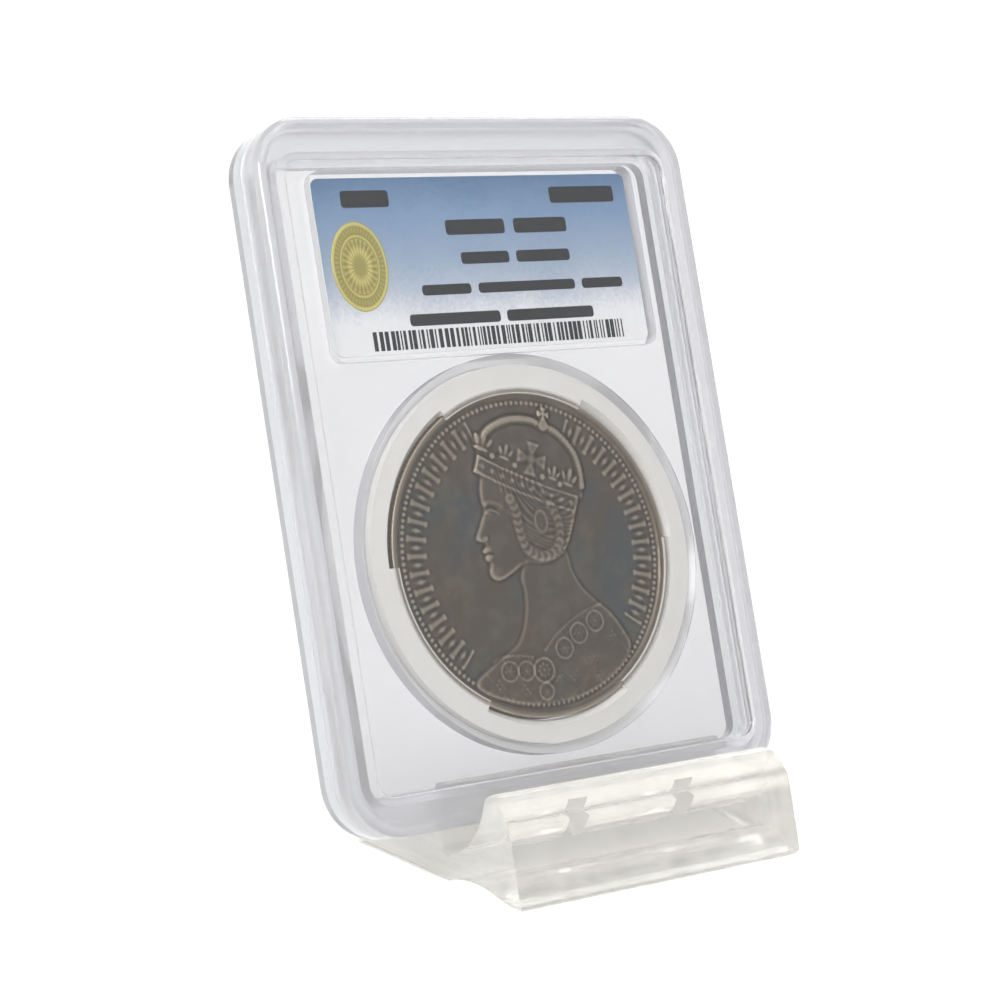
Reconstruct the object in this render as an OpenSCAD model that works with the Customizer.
// Sealed display slab for one crown-size coin, standing in a clear moulded stand.
// The slab is two clear shells welded round a pronged insert ring, the coin and a
// printed card. It leans back in the stand's groove and lifts out of it.
// Origin: on the surface it stands on, at the middle of the outer box.
// +X is to the viewer's right, +Y runs to the back, +Z is up.
// The slab's pieces are drawn lying flat (x across, y up the slab, z out of its
// front face, zero at the slab's centre) and are then leaned into place.

/* [Slab] */
// Width of the slab
slab_w = 63.5; // [56:0.5:76]
// Height of the slab
slab_h = 85.7; // [76:0.1:102]
// Thickness of the slab
slab_t = 8; // [7:0.1:9.6]
// Radius of the slab's four corners, seen from the front
corner_r = 7; // [5.8:0.1:8.4]
// Rounding of the slab's outer edges
edge_r = 1.2; // [1:0.05:1.4]
// Width of the raised rim at the two sides
rim_side = 3.85; // [3.2:0.05:4.6]
// Width of the raised rim at the top
rim_top = 5.5; // [4.6:0.1:6.6]
// Width of the raised rim at the bottom
rim_bottom = 4.8; // [4:0.1:5.7]
// Corner radius of the sunken window inside the rim
window_r = 2; // [1.7:0.1:2.4]
// Thickness of the shells' outer side walls
side_wall = 1.6; // [1.4:0.1:1.9]
// Thickness of the rim's front and rear walls, and of the step down to the window
rim_wall = 1.1; // [0.9:0.05:1.3]
// Thickness of the flat windows over the coin and the card
window_t = 0.9; // [0.75:0.05:1.1]

/* [Coin and insert ring] */
// Diameter of the coin
coin_d = 40.6; // [34:0.1:42]
// Thickness of the coin at its rim
coin_t = 2.6; // [2.1:0.1:3]
// How far the coin's field lies below its rim
field_depth = 0.35; // [0.3:0.01:0.45]
// Width of the coin's raised rim
coin_rim = 1.1; // [0.9:0.05:1.3]
// How far the coin's middle lies above the slab's centre, towards the front
coin_lift = 0.3; // [0.2:0.05:0.4]
// Distance of the coin's centre below the slab's centre
coin_drop = 11.7; // [9:0.1:12.2]
// Radial width of the insert ring
ring_w = 2.9; // [2.4:0.1:3.3]
// How far the prongs' lips reach over the coin's rim
lip_reach = 0.55; // [0.45:0.05:0.65]
// Thickness of the prongs' lips
lip_t = 0.3; // [0.25:0.01:0.36]
// Angle that each prong covers
prong_angle = 60; // [50:1:70]
// Number of prongs
prongs = 3; // [2:1:4]

/* [Card] */
// Width of the printed card
card_w = 46.6; // [40:0.1:48]
// Height of the printed card
card_h = 21.7; // [18:0.1:22]
// Thickness of the printed card
card_t = 0.3; // [0.25:0.01:0.36]
// Corner radius of the card
card_r = 0.9; // [0.7:0.1:1.1]
// Height of the card's centre above the slab's centre
card_rise = 24.75; // [24:0.05:25.5]
// Depth of the card's printed face below the inside of the front window
card_depth = 0.75; // [0.6:0.05:0.9]

/* [Seals] */
// Width of the oval foil seal on the card's face
seal_w = 7.8; // [6.5:0.1:9.4]
// Height of the oval foil seal
seal_h = 11; // [9:0.1:13]
// Distance from the card's left edge to the foil seal
seal_inset = 1.1; // [0.9:0.1:1.4]
// Side of the square security seal on the back of the card
back_seal = 11; // [9:0.1:13]
// Thickness of both seals
seal_t = 0.06; // [0.05:0.01:0.07]

/* [Stand] */
// Width of the stand
stand_w = 42.5; // [36:0.5:51]
// Depth of the stand, front to back
stand_d = 41; // [38:0.5:49]
// How far the stand's middle lies to the right of the slab's middle
stand_shift = 5.5; // [0:0.1:8]
// Angle at which the slab leans back
lean = 15.9; // [13:0.1:19]
// Distance from the stand's front edge back to the slab's lowest front corner
toe_back = 8.9; // [8.5:0.1:10.6]
// Height of the slab's lowest front corner above the table
toe_up = 8.7; // [8:0.1:10.4]
// Height of the front lip
lip_h = 12.8; // [12.2:0.1:15.3]
// Thickness of the front lip near its tip
lip_tip_t = 2.9; // [2.4:0.1:3.1]
// Height of the crease across the stand's front
crease_h = 9.4; // [8:0.1:10.2]
// Distance from the slab's lowest front corner forward to the crease
crease_out = 6.7; // [6:0.1:7]
// Gap between the slab's face and the top of the lip, measured level
lip_gap = 2.3; // [1.9:0.1:2.6]
// Height of the wall behind the slab
wall_h = 11.7; // [10.6:0.1:14]
// Thickness of the wall behind the slab, at its top
wall_t = 2; // [1.7:0.1:2.4]
// Height of the groove's floor
floor_h = 3.4; // [2.9:0.1:4]
// Height of the base where it ends at the back
tail_h = 2.6; // [2.2:0.1:3.1]
// Rounding of the base's back corners, seen from above
tail_r = 8; // [6.7:0.1:9.6]
// Height of the hollow under the front of the base
arch_h = 1.5; // [1.3:0.1:1.8]
// Width of each of the two ribs in the groove
rib_w = 2.8; // [2.3:0.1:3.4]
// Distance between the two ribs' middles
rib_pitch = 16.1; // [13:0.1:19.3]

/* [Clearances] */
// Gap at the seam between the two shells
seam_gap = 0.04; // [0.03:0.01:0.05]
// Gap between the coin and the insert ring, and between the ring and its well
ring_gap = 0.12; // [0.1:0.01:0.14]
// Gap in front of and behind the ring, and between the card and its pad
stack_gap = 0.05; // [0.04:0.01:0.06]
// Gap all round the card in its pocket
card_gap = 0.8; // [0.67:0.01:0.85]
// Gap between the slab and the stand's ribs, lip and wall
seat_gap = 0.12; // [0.1:0.01:0.14]

/* [Hidden] */
$fn = 96;

// Heights inside the slab, all measured from its centre
half_t = slab_t / 2;
ring_top = coin_lift + coin_t / 2 + stack_gap + lip_t;
ring_bottom = 2 * coin_lift - ring_top;
front_under = ring_top + stack_gap;
rear_under = ring_bottom - stack_gap;
card_face = front_under - card_depth;
rim_under = half_t - rim_wall;

// Plan sizes inside the slab
window_w = slab_w - 2 * rim_side;
window_h = slab_h - rim_top - rim_bottom;
window_y = (rim_bottom - rim_top) / 2;
window_fillet = 0.35;
ring_out = coin_d / 2 + ring_gap + ring_w;
well_in = ring_out + ring_gap;
well_flare = 1.2;
// The loop on the rear shell's edge that the front shell is welded to
tongue_w = 0.5;
tongue_h = 0.8;
tongue_in = 0.6;
weld_depth = 0.03;
// How far the card overhangs the pad behind it, all round
pad_inset = 0.6;
// How far the insert ring is cut back between its prongs, and where the first cut starts
gap_notch = 0.75;
prong_start = 60;

// Where the slab stands: its lowest front corner and its centre
toe_y = toe_back - stand_d / 2;
slab_y = toe_y + slab_h / 2 * sin(lean) + half_t * cos(lean);
slab_z = toe_up + slab_h / 2 * cos(lean) - half_t * sin(lean);

// Points of a circle's arc from angle a to angle b
function arc(x, y, r, a, b, n = 12) =
    [for (i = [0:n]) [x + r * cos(a + (b - a) * i / n), y + r * sin(a + (b - a) * i / n)]];

// Centre of the circle through three points
function circle_centre(p, q, s) =
    let (
        d = 2 * (p.x * (q.y - s.y) + q.x * (s.y - p.y) + s.x * (p.y - q.y)),
        pp = p * p,
        qq = q * q,
        ss = s * s
    )
    [
        (pp * (q.y - s.y) + qq * (s.y - p.y) + ss * (p.y - q.y)) / d,
        (pp * (s.x - q.x) + qq * (p.x - s.x) + ss * (q.x - p.x)) / d
    ];

// Points on the arc that starts at p, passes q and ends at s
function arc_through(p, q, s, n = 10) =
    let (
        c = circle_centre(p, q, s),
        r = norm(p - c),
        a = atan2(p.y - c.y, p.x - c.x),
        turn = atan2(s.y - c.y, s.x - c.x) - a,
        step = turn > 180 ? turn - 360 : turn < -180 ? turn + 360 : turn
    )
    arc(c.x, c.y, r, a, a + step, n);

module rounded_rect(w, h, r) {
    offset_w = w / 2 - r;
    offset_h = h / 2 - r;
    square([w, h - 2 * r], center = true);
    square([w - 2 * r, h], center = true);
    for (sx = [-1, 1], sy = [-1, 1])
        translate([sx * offset_w, sy * offset_h])
            circle(r = r);
}

// A rounded rectangle w by h between heights z0 and z1
module plate(w, h, r, z0, z1) {
    translate([0, 0, z0])
        linear_extrude(z1 - z0)
            rounded_rect(w, h, r);
}

// A block with rounded corners whose edge follows an outline. The outline's x runs
// out from the corners' centres and its y is the height.
module edged_block(w, h, r, outline) {
    half_w = w / 2 - r;
    half_h = h / 2 - r;
    for (sx = [0, 1], sy = [0, 1])
        mirror([sx, 0, 0])
            mirror([0, sy, 0])
                translate([half_w, half_h, 0])
                    rotate_extrude(angle = 90)
                        polygon(outline);
    for (side = [0, 1])
        mirror([side, 0, 0])
            translate([half_w, half_h, 0])
                rotate([90, 0, 0])
                    linear_extrude(2 * half_h)
                        polygon(outline);
    for (side = [0, 1])
        mirror([0, side, 0])
            translate([-half_w, half_h, 0])
                rotate([90, 0, 90])
                    linear_extrude(2 * half_w)
                        polygon(outline);
    low = min([for (p = outline) p.y]);
    high = max([for (p = outline) p.y]);
    translate([-half_w, -half_h, low])
        cube([2 * half_w, 2 * half_h, high - low]);
}

// Leans a piece drawn flat into its place in the stand
module in_stand() {
    translate([0, slab_y, slab_z])
        rotate([90 - lean, 0, 0])
            children();
}

// Outside of one shell: a half-thickness block with its outer edge rounded over
module shell_blank() {
    outline = concat(
        [[0, seam_gap / 2], [corner_r, seam_gap / 2]],
        arc(corner_r - edge_r, half_t - edge_r, edge_r, 0, 90, 8),
        [[0, half_t]]
    );
    edged_block(slab_w, slab_h, corner_r, outline);
}

// The sunken window in a shell's outer face, down to height z, with a rounded brink
module window_cut(z) {
    brink = half_t - window_fillet;
    outline = concat(
        [[0, z], [window_r, z]],
        arc(window_r + window_fillet, brink, window_fillet, 180, 90, 6),
        [[window_r + window_fillet, half_t + 1], [0, half_t + 1]]
    );
    translate([0, window_y, 0])
        edged_block(window_w, window_h, window_r, outline);
}

// The hollow that runs round inside the rim, between the side wall and the core
module rim_channel() {
    difference() {
        plate(slab_w - 2 * side_wall, slab_h - 2 * side_wall, corner_r - side_wall, -1,
            rim_under);
        translate([0, window_y, 0])
            plate(window_w + 2 * rim_wall, window_h + 2 * rim_wall, window_r + rim_wall,
                -2, rim_under + 1);
    }
}

// The loop round the shells' edge, between two distances in from the outside
module edge_loop(near, far, z0, z1) {
    difference() {
        plate(slab_w - 2 * near, slab_h - 2 * near, corner_r - near, z0, z1);
        plate(slab_w - 2 * far, slab_h - 2 * far, corner_r - far, z0 - 1, z1 + 1);
    }
}

// The round well for the insert ring, cut to depth z and flared where it meets the window
module coin_well(z) {
    translate([0, -coin_drop, 0])
        rotate_extrude()
            polygon([
                [0, -1],
                [well_in, -1],
                [well_in, z - well_flare],
                [well_in + well_flare, z],
                [0, z]
            ]);
}

module front_shell() {
    color("gainsboro", 0.35)
        in_stand()
            difference() {
                shell_blank();
                window_cut(front_under + window_t);
                rim_channel();
                coin_well(front_under);
                translate([0, card_rise, 0])
                    plate(card_w + 2 * card_gap, card_h + 2 * card_gap, card_r + card_gap, -1,
                        front_under);
                edge_loop(tongue_in - ring_gap / 2, tongue_in + tongue_w + ring_gap / 2,
                    -1, tongue_h);
            }
}

module rear_shell() {
    pad_top = card_face - card_t - seal_t - stack_gap;
    color("silver", 0.35)
        in_stand() {
            mirror([0, 0, 1])
                difference() {
                    shell_blank();
                    window_cut(window_t - rear_under);
                    rim_channel();
                    coin_well(-rear_under);
                }
            edge_loop(tongue_in, tongue_in + tongue_w, -seam_gap, tongue_h + weld_depth);
            // The pad that holds the card up against the front window
            translate([0, card_rise, 0])
                plate(card_w - 2 * pad_inset, card_h - 2 * pad_inset, card_r, -seam_gap,
                    pad_top);
        }
}

module insert_ring() {
    inner = coin_d / 2 + ring_gap;
    lip_in = coin_d / 2 - lip_reach;
    notch = inner + gap_notch;
    coin_top = coin_t / 2 + stack_gap;
    high = ring_top - coin_lift;
    waist = coin_t / 5;
    slope = (high - waist) / gap_notch;
    inward = 1.5;
    // A full wall with a lip over each face of the coin
    prong_outline = [
        [inner, coin_top],
        [lip_in, coin_top],
        [lip_in, high],
        [ring_out, high],
        [ring_out, -high],
        [lip_in, -high],
        [lip_in, -coin_top],
        [inner, -coin_top]
    ];
    // Between the prongs each face is cut back, so the ring only grips the coin's waist
    gap_cut = [
        [inner - inward, waist - inward * slope],
        [notch, high],
        [notch, high + 1],
        [inner - inward, high + 1]
    ];
    color("whitesmoke", 0.8)
        in_stand()
            translate([0, -coin_drop, coin_lift])
                difference() {
                    rotate_extrude()
                        polygon(prong_outline);
                    for (i = [0:prongs - 1], face = [0, 1])
                        mirror([0, 0, face])
                            rotate([0, 0, prong_start + prong_angle + i * 360 / prongs])
                                rotate_extrude(angle = 360 / prongs - prong_angle)
                                    polygon(gap_cut);
                }
}

module coin() {
    r = coin_d / 2;
    top = coin_t / 2;
    field = top - field_depth;
    soft = 0.2;
    flat_r = r - coin_rim;
    upper = concat(
        arc(r - soft, top - soft, soft, 0, 90, 4),
        arc(flat_r + soft, top - soft, soft, 90, 180, 4),
        [[flat_r - soft, field]]
    );
    lower = [for (i = [len(upper) - 1:-1:0]) [upper[i].x, -upper[i].y]];
    color("dimgray")
        in_stand()
            translate([0, -coin_drop, coin_lift])
                rotate_extrude()
                    polygon(concat([[0, -field]], lower, upper, [[0, field]]));
}

module label_card() {
    color("lightsteelblue")
        in_stand()
            translate([0, card_rise, 0])
                plate(card_w, card_h, card_r, card_face - card_t, card_face);
}

module foil_seal() {
    seal_x = seal_inset + seal_w / 2 - card_w / 2;
    color("gold")
        in_stand()
            translate([seal_x, card_rise, card_face])
                linear_extrude(seal_t)
                    scale([seal_w / seal_h, 1])
                        circle(d = seal_h);
}

module rear_seal() {
    color("silver")
        in_stand()
            translate([0, card_rise, 0])
                plate(back_seal, back_seal, card_r, card_face - card_t - seal_t,
                    card_face - card_t);
}

// Side view of the stand, drawn with x to the back and y up
module stand_side() {
    front = -stand_d / 2;
    back = stand_d / 2;
    // Unit steps along the slab's thickness, towards its back, and up its height
    inward = [cos(lean), -sin(lean)];
    upward = [sin(lean), cos(lean)];
    toe = [toe_y, toe_up];
    heel = toe + slab_t * inward;
    foot_w = 2.2;
    foot_r = 1;
    brow_r = 1.6;
    root_r = 0.6;
    tail_lip_r = 0.8;
    lip_foot_gap = 0.45;
    deck_rise = 3;
    deck_dip = [3.5, -2.4];
    tip_r = lip_tip_t / 2;
    // The tip stands clear of the slab's face, which leans away from it
    tip = [toe.x + (lip_h - tip_r - toe.y) * tan(lean) - tip_r - lip_gap, lip_h - tip_r];
    crease = [toe.x - crease_out, crease_h];
    slope = atan2(crease_h, crease.x - front);
    brow = crease + [brow_r * sin(slope), -brow_r * cos(slope)];
    pitch = atan2(tip.y - brow.y, tip.x - brow.x);
    lip_back = [tip.x + tip_r, tip.y];
    lip_low = [toe.x - lip_foot_gap, toe.y - lip_foot_gap / 2];
    wall_face = heel + seat_gap * inward;
    wall_foot = wall_face - (wall_face.y - floor_h) / upward.y * upward;
    wall_top = wall_face + (wall_h - wall_t / 2 - wall_face.y) / upward.y * upward;
    wall_mid = wall_top + wall_t / 2 * inward;
    groove_end = [wall_foot.x - root_r - 0.1, floor_h];
    deck_start = [wall_mid.x + wall_t, floor_h + deck_rise];
    deck_mid = deck_start + deck_dip;
    tail = [back - tail_lip_r, tail_h];
    arch_front = [front + foot_w, 0];
    arch_back = [wall_foot.x, 0];
    arch_top = [(arch_front.x + arch_back.x) / 2, arch_h];
    polygon(concat(
        arc(front + foot_r, foot_r, foot_r, 270, 90 + slope, 5),
        arc(brow.x, brow.y, brow_r, 90 + slope, 90 + pitch, 5),
        arc(tip.x, tip.y, tip_r, 90 + pitch, 5, 10),
        arc_through(lip_back, lip_low, groove_end),
        arc(wall_foot.x - root_r, wall_foot.y + root_r, root_r, -90, -lean, 4),
        arc(wall_mid.x, wall_mid.y, wall_t / 2, 180 - lean, 20, 8),
        arc_through(deck_start, deck_mid, tail),
        arc(back - tail_lip_r, tail_h - tail_lip_r, tail_lip_r, 80, 0, 4),
        arc(back - foot_r, foot_r, foot_r, 0, -90, 4),
        arc_through(arch_back, arch_top, arch_front)
    ));
}

// One of the two ribs across the groove that carry the slab's bottom face. It runs
// forward into the back of the lip and down into the base.
module groove_rib() {
    rib_front = 2.2;
    rib_h = toe_up - (arch_h + floor_h) / 2;
    translate([0, toe_y, toe_up])
        rotate([-lean, 0, 0])
            translate([-rib_w / 2, seat_gap - rib_front, -rib_h])
                cube([rib_w, slab_t + rib_front, rib_h - seat_gap]);
}

module stand() {
    front_r = 1.2;
    color("gainsboro", 0.6)
        translate([stand_shift, 0, 0])
            intersection() {
                union() {
                    rotate([90, 0, 90])
                        linear_extrude(stand_w, center = true)
                            stand_side();
                    for (side = [-1, 1])
                        translate([side * rib_pitch / 2, 0, 0])
                            groove_rib();
                }
                // Seen from above, the back corners are rounded and the front ones are not
                linear_extrude(2 * lip_h) {
                    rounded_rect(stand_w, stand_d, tail_r);
                    translate([-stand_w / 2, -stand_d / 2])
                        square([stand_w, stand_d / 2]);
                }
                // Seen from the front, all four corners are softened
                translate([0, stand_d, lip_h / 2])
                    rotate([90, 0, 0])
                        linear_extrude(2 * stand_d)
                            rounded_rect(stand_w, lip_h, front_r);
            }
}

stand();
rear_shell();
front_shell();
insert_ring();
coin();
label_card();
foil_seal();
rear_seal();
